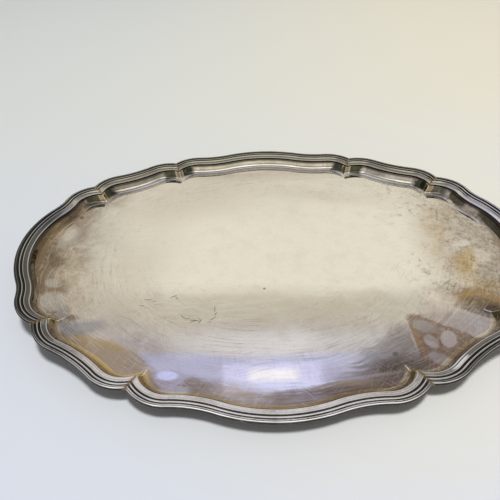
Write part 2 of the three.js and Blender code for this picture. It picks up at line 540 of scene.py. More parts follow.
    def oval(self, place: Sequence[Socket], stain: Stain, ragged: Value = 0.0) -> Socket:
        """A soft oval mask on the salver, or a soft oblong one.

        Args:
            place: sockets of X and Y on the salver, in metres.
            stain: the stain that gives its place, its size and its softness.
            ragged: noise round nought that moves its rim.

        Returns:
            One inside, nought outside.
        """
        turn = math.radians(stain.turn)
        along, across = (
            self._ramp(place, stain, heading, half * MM)
            for heading, half in ((turn, stain.half_x), (turn + math.pi / 2, stain.half_y)))
        if stain.square:
            sides = [self.math("ABSOLUTE", side) for side in (along, across)]
            length = self.math("SMOOTH_MAX", *sides, 0.2)
        else:
            square = self.math("MULTIPLY", along, along)
            length = self.math("SQRT", self.math("MULTIPLY_ADD", across, across, square))
        rim = self.math("ADD", length, ragged)
        return self.step(rim, 1.0 + stain.soft / 2, 1.0 - stain.soft / 2)

    def _ramp(self, place: Sequence[Socket], stain: Stain, heading: float, half: float) -> Socket:
        """Distance from a stain's middle along a heading, one at its rim.

        Args:
            place: sockets of X and Y on the salver, in metres.
            stain: the stain.
            heading: the heading, in radians.
            half: the stain's half size along the heading, in metres.

        Returns:
            The distance, with its sign.
        """
        cos, sin = math.cos(heading) / half, math.sin(heading) / half
        start = -(stain.x * cos + stain.y * sin) * MM
        return self.math("MULTIPLY_ADD", place[0], cos, self.math("MULTIPLY_ADD", place[1], sin, start))


def blank_material(name: str) -> tuple[bpy.types.Material, Graph]:
    """A new material whose graph is empty.

    Args:
        name: the material's name.

    Returns:
        The material and its graph.
    """
    material = bpy.data.materials.new(name)
    material.use_nodes = True
    return material, Graph(material.node_tree)


@dataclass(frozen=True)
class Strokes:
    """A layer of fine strokes left by wiping and polishing.

    The turn is degrees. Along and across say how many strokes a metre holds each way.
    """

    turn: float
    along: float
    across: float
    colour: Colour
    strength: float
    on_tarnish: bool = True
    round_rim: bool = False


GOLD: Colour = (0.55, 0.41, 0.20)
AMBER: Colour = (0.40, 0.26, 0.11)
BROWN: Colour = (0.24, 0.165, 0.10)
UMBER: Colour = (0.13, 0.10, 0.065)
OLIVE: Colour = (0.10, 0.10, 0.05)
TAN: Colour = (0.42, 0.32, 0.20)
STRAW: Colour = (0.50, 0.42, 0.30)
SMOKE: Colour = (0.60, 0.55, 0.46)
ROSE_GREY: Colour = (0.66, 0.58, 0.51)
HAZE: Colour = (0.47, 0.43, 0.39)
BLUE_GREY: Colour = (0.33, 0.33, 0.34)
PALE: Colour = (0.88, 0.84, 0.75)
INK: Colour = (0.06, 0.05, 0.045)
SLATE: Colour = (0.25, 0.23, 0.205)
DUSK: Colour = (0.36, 0.33, 0.29)
CHESTNUT: Colour = (0.20, 0.125, 0.08)
CREAM: Colour = (0.92, 0.84, 0.70)
WHITE: Colour = (1.0, 1.0, 1.0)


@dataclass(frozen=True)
class SheetSockets:
    """The places and noises that the layers of the sheet's finish share."""

    place: Socket
    flat: Sequence[Socket]
    wall: Socket
    joint: Socket
    clouds: Socket
    blots: Socket
    grain: Socket
    specks: Socket
    streaks: Socket
    curving: Socket
    swirl: Socket


@dataclass(frozen=True)
class SheetSilver:
    """Worn silver plate of the tray body: satin, scratched and tarnished near the wall, with painted shade
    under the lip and beside the mitres at the back and a painted highlight along the ridges.

    The wall's distances are millimetres inwards from the flange's outer edge, and the joint's are
    millimetres from the line of the nearest mitre. Of the clean middle only the shape is read.
    """

    silver: Colour = (0.90, 0.86, 0.76)
    veil: Colour = (0.74, 0.70, 0.62)
    solder: Colour = (0.36, 0.28, 0.17)
    # Painted highlight along the small ridges from the corners.
    ridge_highlight: Colour = (0.86, 0.80, 0.68)
    crust: Colour = (0.20, 0.14, 0.085)
    # Colour of the painted shade beside the mitres at the back.
    corner_painted_shade: Colour = (0.06, 0.065, 0.04)
    bright: Colour = (0.97, 0.92, 0.82)
    well_ratio: float = 1.3
    stroke_radius: float = 0.14
    clean_middle: Stain = Stain(2, 22, 174, 94, 0, PALE, 1.0, 0.7)
    front_lobe: Stain = Stain(-34, -160, 106, 46, 0, GOLD, 1.0, 0.3)
    clouds: Noise = Noise(46.0, 7.0, 0.66)
    blots: Noise = Noise(120.0, 6.0, 0.7, 60.0, 0.012)
    grain: Noise = Noise(700.0, 4.0, 0.75)
    specks: Noise = Noise(300.0, 5.0, 0.72, 160.0, 0.006)
    stroke_patches: Noise = Noise(30.0, 4.0, 0.6)
    streak_spread: tuple[float, float, float] = (30.0, 190.0, 1.0)
    hair_spread: tuple[float, float, float] = (20.0, 900.0, 1.0)
    # Painted shade: the dark line on the wall just under the lip.
    painted_shade_under_lip: Pair = (9.9, 8.6)
    wall_foot: Pair = (17.0, 14.0)
    wall_crust: Pair = (19.0, 14.0)
    ridge_reach: Pair = (26.0, 17.0)
    foot_band: Pair = (29.5, 22.0)
    rim_reach: Pair = (46.0, 22.0)
    mirror_strip: Span = (14.5, 16.0, 20.0, 23.0)
    # Where the painted shade beside each mitre starts, is full, is still full and ends, away from the mitre.
    painted_shade_block: Span = (4.0, 5.5, 16.0, 20.0)

    def tarnish(self) -> list[Stain]:
        """Broad patches of tarnish, laid first.

        Returns:
            The patches, the lowest first.
        """
        crisp, streaky = Breakup.CRISP, Breakup.STREAKY
        curved, mottled = Breakup.CURVED, Breakup.MOTTLED
        return [
            # thin smoke round the clean middle
            Stain(76, 95, 75, 12, -14, ROSE_GREY, 0.3, 1.6, streaky),
            Stain(-90, 96, 70, 34, 12, ROSE_GREY, 0.5, 1.6, streaky),
            Stain(-28, 148, 110, 12, 0, ROSE_GREY, 0.6, 1.6, streaky),
            Stain(-40, -76, 140, 24, 0, SMOKE, 0.85, 1.0, streaky),
            Stain(76, -80, 84, 20, 4, SMOKE, 0.8, 1.1, streaky),
            Stain(-150, -50, 40, 54, -10, SMOKE, 0.5, 1.4, streaky),
            Stain(-124, -98, 46, 26, -30, ROSE_GREY, 0.75, 1.2, mottled),
            Stain(-112, -104, 30, 13, -37, HAZE, 0.6, 1.2, mottled),
            Stain(-60, -134, 46, 12, 0, ROSE_GREY, 0.5, 1.0, curved),
            Stain(-138, 24, 46, 76, 0, SMOKE, 0.35, 1.4, streaky),
            # right of the front lobe
            Stain(104, -126, 42, 23, 24, SLATE, 0.95, 0.8, curved),
            Stain(82, -145, 40, 14, 9, UMBER, 1.0, 0.8, curved),
            Stain(100, -134, 19, 9, 17, UMBER, 0.7, 1.2, streaky),
            Stain(104, -110, 15, 12, 50, DUSK, 0.7, 0.8),
            # near the foot of the front wall
            Stain(70, -148, 34, 8, 10, BROWN, 0.6, 1.0, curved),
            Stain(44, -140, 26, 8, -4, ROSE_GREY, 0.6, 1.2, mottled),
            Stain(-52, -149, 40, 7, -8, TAN, 0.6, 1.0, curved),
            # left end
            Stain(-198, 0, 42, 96, 0, HAZE, 0.75, 1.2, mottled),
            Stain(-214, 4, 28, 72, 0, BROWN, 0.9, 1.2, mottled),
            Stain(-166, -106, 20, 9, -38, BROWN, 0.8, 1.0, mottled),
            Stain(-190, -50, 26, 44, 20, AMBER, 0.35, 1.4, mottled),
            Stain(-228, 10, 15, 10, -65, AMBER, 0.5, 0.8, mottled),
            Stain(-211, -13, 14, 9, -49, UMBER, 0.7, 1.0),
            Stain(-195, 58, 22, 15, -50, HAZE, 0.6, 1.2, mottled),
            Stain(-207, 74, 26, 10, -60, AMBER, 0.6, 1.0, mottled),
            Stain(-214, 62, 14, 5, 58, OLIVE, 0.9, 0.8),
            Stain(-232, 10, 5, 14, 0, OLIVE, 0.8, 0.9),
            Stain(-222, -12, 14, 34, 0, UMBER, 0.5, 1.2, mottled),
            # front left
            Stain(-128, -125, 38, 13, -30, GOLD, 0.95, 0.5, curved),
            Stain(-112, -131, 13, 9, -36, AMBER, 0.7, 0.5, mottled),
            Stain(-96, -146, 11, 8, -7, BROWN, 0.8, 0.9),
            # right end
            Stain(198, -6, 42, 88, 0, ROSE_GREY, 0.6, 1.0, mottled),
            Stain(194, -10, 36, 84, 0, TAN, 0.5, 1.2, mottled),
            Stain(206, -6, 28, 80, 0, HAZE, 0.7, 1.2, mottled),
            Stain(180, 40, 26, 13, 69, GOLD, 0.35, 1.2, mottled),
            Stain(185, -28, 22, 9, 67, GOLD, 1.0, 0.8, mottled),
            Stain(168, 4, 20, 4, 62, GOLD, 0.35, 1.4, mottled),
            Stain(188, -58, 24, 10, -20, GOLD, 0.8, 1.0, mottled),
            Stain(174, -74, 30, 15, -28, BROWN, 0.95, 0.6, mottled),
            Stain(184, -72, 20, 9, -25, UMBER, 0.6, 1.0, mottled),
            Stain(180, -90, 18, 9, -42, INK, 0.75, 0.9),
            Stain(137, -112, 25, 26, 0, CHESTNUT, 0.9, 0.12, crisp, square=True),
            Stain(134, -112, 24, 24, 0, AMBER, 0.5, 0.9, mottled),
            Stain(115, -108, 3, 17, 2, AMBER, 0.8, 0.7, mottled),
            Stain(111.5, -108, 1.0, 15, 1, ROSE_GREY, 0.8, 0.8, mottled),
        ]

    def marks(self) -> list[Stain]:
        """Finger marks, cloth marks, spots and nicks, laid over the tarnish.

        Returns:
            The marks, the lowest first.
        """
        crisp, streaky = Breakup.CRISP, Breakup.STREAKY
        curved, mottled = Breakup.CURVED, Breakup.MOTTLED
        return [
            # brown, golden and pale patches over the smoke
            Stain(-128, -125, 37, 12, -30, GOLD, 0.9, 0.45, curved),
            Stain(-118, -130, 24, 6, -32, AMBER, 0.3, 0.7, mottled),
            Stain(-72, -149, 30, 7, -4, BROWN, 0.65, 0.8, curved),
            Stain(-211, -11, 13, 9, -49, UMBER, 0.6, 1.0, mottled),
            Stain(-214, -38, 12, 20, 6, UMBER, 0.4, 1.2, mottled),
            Stain(-218, 36, 12, 14, -20, GOLD, 0.55, 1.2, mottled),
            Stain(-118, -128, 25, 10, -30, GOLD, 0.7, 0.8, crisp),
            Stain(-160, -114, 12, 6, -20, BROWN, 0.35, 1.0, mottled),
            Stain(-186, -16, 14, 14, 0, BROWN, 0.22, 1.4, mottled),
            Stain(-160, -14, 12, 20, 0, PALE, 0.35, 1.4, mottled),
            Stain(176, -72, 16, 8, -25, AMBER, 0.5, 0.8, mottled),
            Stain(182, -22, 12, 9, 60, AMBER, 0.25, 1.0, mottled),
            Stain(100, -104, 14, 8, 20, BROWN, 0.25, 1.0, mottled),
            Stain(-74, -153, 11, 4, -5, PALE, 0.5, 0.9, curved),
            Stain(179, -26, 15, 6, 67, AMBER, 0.5, 0.9, mottled),
            Stain(149, -69, 12, 7, -20, CREAM, 0.6, 1.0, mottled),
            # wiped spots along the left end
            Stain(-204, 22, 17, 9, 85, HAZE, 0.8, 0.7),
            Stain(-205, 26, 9, 5, 85, PALE, 0.3, 0.9),
            Stain(-200, -44, 8, 6, -17, HAZE, 0.8, 0.8),
            Stain(-197, -53, 11, 3.5, 0, BROWN, 0.6, 1.1),
            Stain(-193, -66, 13, 10, -17, HAZE, 0.85, 0.6),
            Stain(-180, -77, 7, 5, -50, BLUE_GREY, 0.6, 1.1),
            Stain(-170, -84, 6, 3.5, -8, BROWN, 0.7, 1.1),
            Stain(-161, -94, 18, 7, 6, BLUE_GREY, 0.8, 1.0),
            Stain(-154, -94, 9, 3, 12, HAZE, 0.7, 1.0),
            # white spot by the foot of the front wall
            Stain(-81, -142, 12.5, 7.5, -3, ROSE_GREY, 0.85, 0.4),
            Stain(-82, -140, 8, 4, -3, WHITE, 0.9, 0.6, crisp),
            # finger marks on the brown square at the front right
            Stain(124, -98, 10, 6, -30, HAZE, 0.75, 0.7, crisp),
            Stain(138.5, -112, 8.5, 6, 68, ROSE_GREY, 0.9, 0.3, crisp),
            Stain(124.5, -113.5, 7, 5, -70, HAZE, 0.9, 0.35, crisp),
            Stain(124, -116, 5, 2.5, -30, ROSE_GREY, 0.6, 0.8, crisp),
            Stain(127, -131, 10, 5, -38, HAZE, 0.8, 0.6, crisp),
            # dark patch and wiped strip right of them
            Stain(179, -73, 21, 12, -22, AMBER, 0.95, 0.6, mottled),
            Stain(180, -80, 19, 9, -28, UMBER, 0.85, 0.7, mottled),
            Stain(186, -87, 13, 6, -30, INK, 0.8, 0.7),
            Stain(136, -84, 15, 9, -33, HAZE, 0.35, 0.9, mottled),
            Stain(152, -92, 25, 12, -33, ROSE_GREY, 0.72, 0.22, crisp, square=True),
            Stain(158, -96, 20, 7, -33, HAZE, 0.6, 1.1, mottled),
            Stain(168, -93, 10, 3, -38, BLUE_GREY, 0.4, 1.0),
            # streaks along the front, and pale spots at the right end
            Stain(72, -143, 18, 1.6, 8, self.bright, 0.3, 1.4, streaky),
            Stain(38, -158, 46, 8, 5, BROWN, 0.8, 0.7, curved),
            Stain(40, -156, 30, 4, 4, UMBER, 0.5, 0.9, curved),
            Stain(-55, -52, 37, 4, -2, PALE, 0.4, 1.2, streaky),
            Stain(189, 0, 8.5, 5, 13, PALE, 0.5, 0.8),
            Stain(201, -20, 11, 7, 87, PALE, 0.4, 0.8),
            # dark specks, nicks and scratches
            Stain(-201, 57, 2.6, 1.8, -62, INK, 0.8, 0.5, crisp),
            Stain(94, -124, 2.4, 1.8, 17, INK, 0.6, 0.8, crisp),
            Stain(-5, -50, 1.2, 1.2, 0, INK, 0.7, 0.5, crisp),
            *self.nicks(),
            Stain(-70, -80, 9, 0.3, -5, INK, 0.3, 0.9, crisp),
            Stain(181, 47, 11, 0.9, 76, INK, 0.35, 0.6),
            Stain(158, -51, 6, 0.9, 36, INK, 0.4, 0.6),
        ]

    def nicks(self) -> list[Stain]:
        """Short dark scratches in the middle of the well.

        Returns:
            One mark for each.
        """
        nicks = [
            (-87, -58, 3.4, 0.45, 29, 0.8), (-84, -60, 1.6, 0.5, 60, 0.6), (-109, -62, 3.6, 0.5, -1, 0.7),
            (-104, -64, 2.4, 0.4, 22, 0.6), (-114, -69, 2.2, 0.6, -3, 0.6), (-111, -71, 3.0, 0.35, -30, 0.5),
            (-98, -67, 4.2, 0.35, 8, 0.45), (-49, -74, 3.6, 0.4, -87, 0.7), (-48, -79, 2.2, 0.4, 65, 0.7),
            (-76, -82, 3, 0.4, -42, 0.75), (-72, -84, 2.4, 0.45, 12, 0.6), (-66, -86, 4, 0.6, -8, 0.8),
            (-68, -88, 3.4, 0.35, 24, 0.6), (-62, -84, 2.6, 0.35, -62, 0.5), (-61, -87, 3, 0.45, 62, 0.75),
            (-50, -84, 3.6, 0.4, 38, 0.75), (-53, -88, 2.2, 0.35, 20, 0.5),
        ]
        return [Stain(*place, INK, strength, 0.7, Breakup.CRISP) for *place, strength in nicks]

    def strokes(self) -> list[Strokes]:
        """Layers of hairlines, dark on the silver and bright on the tarnish.

        Returns:
            The layers, the lowest first.
        """
        return [
            Strokes(3, 14, 620, SMOKE, 0.07, on_tarnish=False),
            Strokes(-5, 20, 900, SMOKE, 0.08, on_tarnish=False),
            Strokes(1, 12, 420, BROWN, 0.26, round_rim=True),
            Strokes(-3, 18, 800, UMBER, 0.24, round_rim=True),
            Strokes(4, 14, 620, self.bright, 0.16, round_rim=True),
            Strokes(-1, 20, 1000, self.bright, 0.20, round_rim=True),
            Strokes(12, 44, 900, self.bright, 0.12, round_rim=True),
            Strokes(68, 46, 900, self.bright, 0.20),
            Strokes(-74, 50, 1000, BROWN, 0.16),
            Strokes(-38, 40, 1000, self.bright, 0.22),
            Strokes(48, 60, 900, self.bright, 0.14),
            Strokes(-16, 30, 900, BROWN, 0.22, round_rim=True),
            Strokes(28, 46, 1000, BROWN, 0.10),
        ]

    def make(self) -> bpy.types.Material:
        """Builds the finish.

        Returns:
            The material.
        """
        material, g = blank_material("sheet_silver")
        at = self._sockets(g)
        breakups = self._breakups(g, at)
        clean = g.oval(at.flat, self.clean_middle, breakups[Breakup.MOTTLED][0])
        tarnished = g.math("SUBTRACT", 1.0, clean, clamp=True)
        colour = g.mix(g.step(at.clouds, 0.42, 0.70, 0.0, 0.35), self.silver, self.veil)
        colour = g.mix(g.step(at.streaks, 0.48, 0.72, 0.0, 0.10), colour, self.veil)
        colour = self._lay(g, at, colour, self.tarnish(), breakups)
        colour = self._mottling(g, at, colour, tarnished)
        colour = self._rim_tarnish(g, at, colour)
        colour = self._foot(g, at, colour)
        colour = self._lay(g, at, colour, self.marks(), breakups)
        colour = self._hairlines(g, at, colour, tarnished)
        colour = g.mix(g.step(at.grain, 0.50, 0.72, 0.0, 0.12), colour, BROWN)
        colour = self._wall(g, at, colour)
        self._surface(g, at, colour, clean)
        return material

    def _sockets(self, g: Graph) -> SheetSockets:
        """Lays the places and noises that the layers read.

        Args:
            g: the material's graph.

        Returns:
            Their sockets.
        """
        place = g.node("TexCoord").outputs["Object"]
        flat = g.node("SeparateXYZ", {0: place}).outputs[:2]
        wall = g.attribute("wall")
        streaks = g.stretch(g.warped(place, 9.0, 0.03), self.streak_spread, 3.0)
        return SheetSockets(
            place=place, flat=flat, wall=wall, joint=g.attribute("joint"),
            clouds=g.noise(place, self.clouds), blots=g.noise(place, self.blots),
            grain=g.noise(place, self.grain), specks=g.noise(place, self.specks),
            streaks=g.spots(streaks, 1.0, 6.0, 0.7),
            curving=g.spots(self._round_course(g, place, wall), 1.0, 6.0, 0.75),
            swirl=g.warped(self._swirl(g, flat), 7.0, 0.03))

    def _breakups(self, g: Graph, at: SheetSockets) -> dict[Breakup, tuple[Value, Socket]]:
        """Lays the noises that break up the stains.

        Args:
            g: the material's graph.
            at: the shared places and noises.

        Returns:
            For each kind, a noise that moves a stain's rim and a share that thins it here and there.
        """
        rims = {
            Breakup.CRISP: ((at.grain, 0.3), (at.blots, 0.3)),
            Breakup.SOFT: ((at.clouds, 1.2), (at.blots, 1.0), (at.grain, 0.4)),
            Breakup.STREAKY: ((at.streaks, 0.8), (at.clouds, 1.2)),
            Breakup.CURVED: ((at.curving, 2.0), (at.clouds, 0.8)),
            Breakup.MOTTLED: ((at.clouds, 1.2), (at.blots, 1.6), (at.grain, 0.9)),
        }
        thin = {
            Breakup.CRISP: g.step(at.grain, 0.35, 0.60, 0.80, 1.0),
            Breakup.SOFT: g.step(at.blots, 0.34, 0.58, 0.65, 1.0),
            Breakup.STREAKY: g.step(at.streaks, 0.34, 0.60, 0.70, 1.0),
            Breakup.CURVED: g.step(at.curving, 0.34, 0.60, 0.55, 1.0),
            Breakup.MOTTLED: g.step(at.blots, 0.36, 0.60, 0.50, 1.0),
        }
        return {kind: (g.moved(0.0, *parts), thin[kind]) for kind, parts in rims.items()}

    def _lay(self, g: Graph, at: SheetSockets, colour: Socket, stains: list[Stain],
             breakups: dict[Breakup, tuple[Value, Socket]]) -> Socket:
        """Lays stains over the colour so far.

        Args:
            g: the material's graph.
            at: the shared places and noises.
            colour: the colour so far.
            stains: the stains, the lowest first.
            breakups: what breaks up each kind.

        Returns:
            The new colour.
        """
        for stain in stains:
            ragged, thin = breakups[stain.breakup]
            share = g.times(g.oval(at.flat, stain, ragged), thin, stain.strength)
            colour = g.mix(share, colour, stain.colour)
        return colour

    def _mottling(self, g: Graph, at: SheetSockets, colour: Socket, tarnished: Socket) -> Socket:
        """Lays brown and pale flecks at both ends, more of them at the right.

        Args:
            g: the material's graph.
            at: the shared places and noises.
            colour: the colour so far.
            tarnished: one where the well is tarnished.

        Returns:
            The new colour.
        """
        right, left = g.step(at.flat[0], 0.11, 0.17), g.step(at.flat[0], -0.13, -0.19, 0.10, 0.50)
        spotted = g.times(tarnished, g.math("ADD", right, left))
        layers = [
            (at.blots, 0.50, 0.68, 0.65, BROWN), (at.blots, 0.50, 0.36, 0.65, self.veil),
            (at.specks, 0.51, 0.64, 0.50, BROWN), (at.specks, 0.48, 0.36, 0.50, self.veil),
        ]
        for noise, low, high, strength, tint in layers:
            share = g.times(spotted, g.step(noise, low, high, 0.0, strength))
            colour = g.mix(share, colour, tint)
        return colour

    def _rim_tarnish(self, g: Graph, at: SheetSockets, colour: Socket) -> Socket:
        """Lays the brown that creeps in from the wall at both ends.

        Args:
            g: the material's graph.
            at: the shared places and noises.
            colour: the colour so far.

        Returns:
            The new colour.
        """
        x, y = at.flat
        moved = g.moved(at.wall, (at.clouds, 44.0), (at.blots, 40.0), (at.specks, 22.0))
        ends = g.math("ADD", g.step(x, -0.140, -0.185), g.step(x, 0.140, 0.185, 0.0, 0.5))
        share = g.times(g.step(moved, *self.rim_reach), g.step(at.specks, 0.38, 0.62, 0.5, 1.0),
                        g.step(y, 0.0, 0.05, 1.0, 0.55), ends)
        return g.mix(share, colour, self.crust)

    def _foot(self, g: Graph, at: SheetSockets, colour: Socket) -> Socket:
        """Lays the golden band along the front wall's foot, and the brown of the wall.

        Args:
            g: the material's graph.
            at: the shared places and noises.
            colour: the colour so far.

        Returns:
            The new colour.
        """
        x, y = at.flat
        moved = g.moved(at.wall, (at.curving, 12.0), (at.clouds, 14.0))
        band = g.times(g.oval(at.flat, self.front_lobe), g.step(moved, *self.foot_band, 0.0, 0.8),
                       g.step(at.blots, 0.34, 0.58, 0.6, 1.0))
        colour = g.mix(band, colour, self.front_lobe.colour)
        lit = g.times(g.step(x, 0.16, 0.20), g.step(y, 0.0, 0.03))
        side = g.times(g.step(y, 0.125, 0.05, 0.15, 0.9), g.math("SUBTRACT", 1.0, lit))
        crust = g.times(g.step(at.wall, *self.wall_crust), g.step(at.curving, 0.40, 0.56, 0.5, 1.0), side)
        return g.mix(crust, colour, self.crust)

    def _wall(self, g: Graph, at: SheetSockets, colour: Socket) -> Socket:
        """Lays the painted shade under the lip, the painted shade beside the mitres at the back, the solder
        and the painted highlight along the ridges.

        Args:
            g: the material's graph.
            at: the shared places and noises.
            colour: the colour so far.

        Returns:
            The new colour.
        """
        # Painted shade: a dark line on the wall just under the lip.
        colour = g.mix(g.step(at.wall, *self.painted_shade_under_lip, 0.0, 0.9), colour, INK)
        on_wall = g.step(at.wall, *self.wall_foot)
        # Painted shade: dark blocks on the back wall beside each mitre.
        start, full, still, end = self.painted_shade_block
        uneven = g.moved(at.joint, (at.blots, 16.0))
        dark = g.times(g.step(at.joint, start, full), g.step(uneven, end, still, 0.0, 0.95),
                       self._back(g, at))
        colour = g.mix(g.times(dark, on_wall), colour, self.corner_painted_shade)
        near = g.step(g.math("MULTIPLY_ADD", at.clouds, -5.0, at.joint), 2.4, 0.0, 0.0, 0.9)
        colour = g.mix(g.times(near, on_wall), colour, self.solder)
        # Painted highlight along the small ridges from the corners.
        ridge_highlight = g.times(g.step(at.wall, *self.ridge_reach, 0.0, 0.8), g.step(at.joint, 0.8, 0.25))
        return g.mix(ridge_highlight, colour, self.ridge_highlight)

    def _back(self, g: Graph, at: SheetSockets) -> Socket:
        """One at the salver's back, nought in front of its middle."""
        return g.step(at.flat[1], 0.05, 0.10)

    def _surface(self, g: Graph, at: SheetSockets, colour: Socket, clean: Socket) -> None:
        """Gives the colour its gloss and its fine relief.

        Args:
            g: the material's graph.
            at: the shared places and noises.
            colour: the finished colour.
            clean: one where the well is clean.
        """
        start, full, still, end = self.mirror_strip
        hazy = g.times(g.step(at.wall, start, full), g.step(at.wall, end, still, 0.0, 0.30),
                       self._back(g, at))
        rough = g.math("ADD", 0.03, g.step(at.clouds, 0.45, 0.75, 0.0, 0.05))
        rough = g.math("ADD", g.math("MULTIPLY_ADD", clean, 0.03, rough), hazy)
        hair = g.spots(g.stretch(at.swirl, self.hair_spread, -2.0), 1.0, 3.0, 0.8)
        relief = g.math("MULTIPLY_ADD", at.curving, 0.6, hair)
        bump = g.node("Bump", {"Height": relief, "Strength": 0.15, "Distance": 0.00003})
        g.metal(colour, rough, bump.outputs[0])

    def _round_course(self, g: Graph, place: Socket, wall: Socket) -> Socket:
        """A vector that changes slowly along the wall and fast away from it.

        Args:
            g: the material's graph.
            place: place on the salver.
            wall: distance inwards from the flange's edge, in millimetres.

        Returns:
            The vector.
        """
        around = g.node("VectorMath", {0: place}, operation="NORMALIZE").outputs[0]
        x, y, _ = g.node("SeparateXYZ", {0: around}).outputs
        inputs = {0: g.times(x, 3.0), 1: g.times(y, 3.0), 2: g.times(wall, 0.42)}
        return g.node("CombineXYZ", inputs).outputs[0]

    def _swirl(self, g: Graph, flat: Sequence[Socket]) -> Socket:
        """A vector that runs round the well, and outwards from its middle, in metres.

        Args:
            g: the material's graph.
            flat: sockets of X and Y on the salver.

        Returns:
            The vector. Where its turn wraps round lies at the back.
        """
        across = g.math("DIVIDE", flat[0], self.well_ratio)
        near = g.times(flat[1], -1.0)
        radius = g.math("SQRT", g.math("MULTIPLY_ADD", near, near, g.times(across, across)))
        turned = g.math("ARCTAN2", across, near)
        return g.node("CombineXYZ", {0: g.times(turned, self.stroke_radius), 1: radius}).outputs[0]

    def _hairlines(self, g: Graph, at: SheetSockets, colour: Socket, tarnished: Socket) -> Socket:
        """Lays the hairlines.

        Args:
            g: the material's graph.
            at: the shared places and noises.
            colour: the colour so far.
            tarnished: one where the well is tarnished.

        Returns:
            The new colour.
        """
        for i, layer in enumerate(self.strokes()):
            vector = at.swirl if layer.round_rim else at.place
            lines = g.spots(g.stretch(vector, (layer.along, layer.across, 1.0), layer.turn), 1.0, 2.0, 0.6)
            shift = {"Vector": at.place, "Location": (0.37 * i, 0.21 * i, 0.0)}
            patches = g.step(g.noise(g.node("Mapping", shift).outputs[0], self.stroke_patches), 0.44, 0.60)
            share = g.times(g.step(lines, 0.54, 0.66, 0.0, layer.strength), patches)
            if layer.on_tarnish:
                share = g.times(share, tarnished)
            colour = g.mix(share, colour, layer.colour)
        return colour


@dataclass(frozen=True)
class BorderSilver:
    """Silver plate of the border: bright on its crests, dark with tarnish between them, with painted shade
    and painted dark reflections on the reeds and the edge bead, painted dark reflections over the left and
    front right lengths, a painted olive reflection on the back lengths and one painted highlight.
    """

    silver: Colour = (0.88, 0.86, 0.90)
    patina: Colour = (0.58, 0.55, 0.50)
    tarnish_and_shade_dark: Colour = (0.03, 0.028, 0.024)
    # Painted reflection: the olive that the back lengths show.
    back_painted_reflection: Colour = (0.34, 0.31, 0.20)
    solder: Colour = (0.30, 0.21, 0.11)
    # Painted dark reflections over the left end and the front right lengths of the border.
    left_painted_dark_reflection: Stain = Stain(-238, -34, 90, 126, 24, (0.085, 0.085, 0.07), 1.0, 0.8)
    right_painted_dark_reflection: Stain = Stain(200, -112, 118, 92, 0, (0.13, 0.125, 0.10), 1.0, 1.0)
    # A painted highlight: a pale blue-white spot on the front right slope.
    painted_highlight: Stain = Stain(134, -141, 8, 4, 37, (0.90, 0.93, 1.0), 1.0, 0.8)
    patches: Noise = Noise(38.0, 5.0, 0.62, 30.0, 0.03)
    fine: Noise = Noise(620.0, 4.0, 0.7)

    def make(self) -> bpy.types.Material:
        """Builds the finish.

        Returns:
            The material.
        """
        material, g = blank_material("border_silver")
        place = g.node("TexCoord").outputs["Object"]
        flat = g.node("SeparateXYZ", {0: place}).outputs[:2]
        tarnish_and_painted_shade = g.attribute("tarnish_and_painted_shade")
        patches = g.noise(place, self.patches)
        fine = g.noise(place, self.fine)
        wavy = g.moved(0.0, (patches, 1.6))
        colour = g.mix(g.step(patches, 0.42, 0.70, 0.0, 0.45), self.silver, self.patina)
        # Lays the painted dark reflections and the painted highlight over the border.
        shades = [
            (self.left_painted_dark_reflection, g.step(tarnish_and_painted_shade, 0.0, 0.1, 0.5, 0.96)),
            (self.right_painted_dark_reflection, g.step(tarnish_and_painted_shade, 0.0, 0.1, 0.35, 0.9)),
            (self.painted_highlight, g.step(tarnish_and_painted_shade, 0.3, 0.15)),
        ]
        for stain, share in shades:
            colour = g.mix(g.times(g.oval(flat, stain, wavy), share), colour, stain.colour)
        # Painted reflection: the back lengths are made olive.
        back = g.step(g.math("MULTIPLY_ADD", wavy, 0.02, flat[1]), 0.02, 0.12)
        colour = g.mix(g.times(back, g.step(tarnish_and_painted_shade, 0.0, 0.15, 0.60, 0.92)), colour, self.back_painted_reflection)
        # Darkens as the section's values say: tarnish in the hollows, and painted shade and painted dark
        # reflection on the reeds' sides, the lip and the edge bead.
        ragged = g.moved(tarnish_and_painted_shade, (fine, 0.7), (patches, 0.8))
        colour = g.mix(g.step(ragged, 0.25, 0.98, 0.0, 0.97), colour, self.tarnish_and_shade_dark)
        near = g.math("MULTIPLY_ADD", patches, -5.0, g.attribute("joint"))
        colour = g.mix(g.step(near, 0.2, -2.2, 0.0, 0.8), colour, self.solder)
        bump = g.node("Bump", {"Height": fine, "Strength": 0.2, "Distance": 0.00004})
        g.metal(colour, g.math("MULTIPLY_ADD", patches, 0.07, 0.04), bump.outputs[0])
        return material


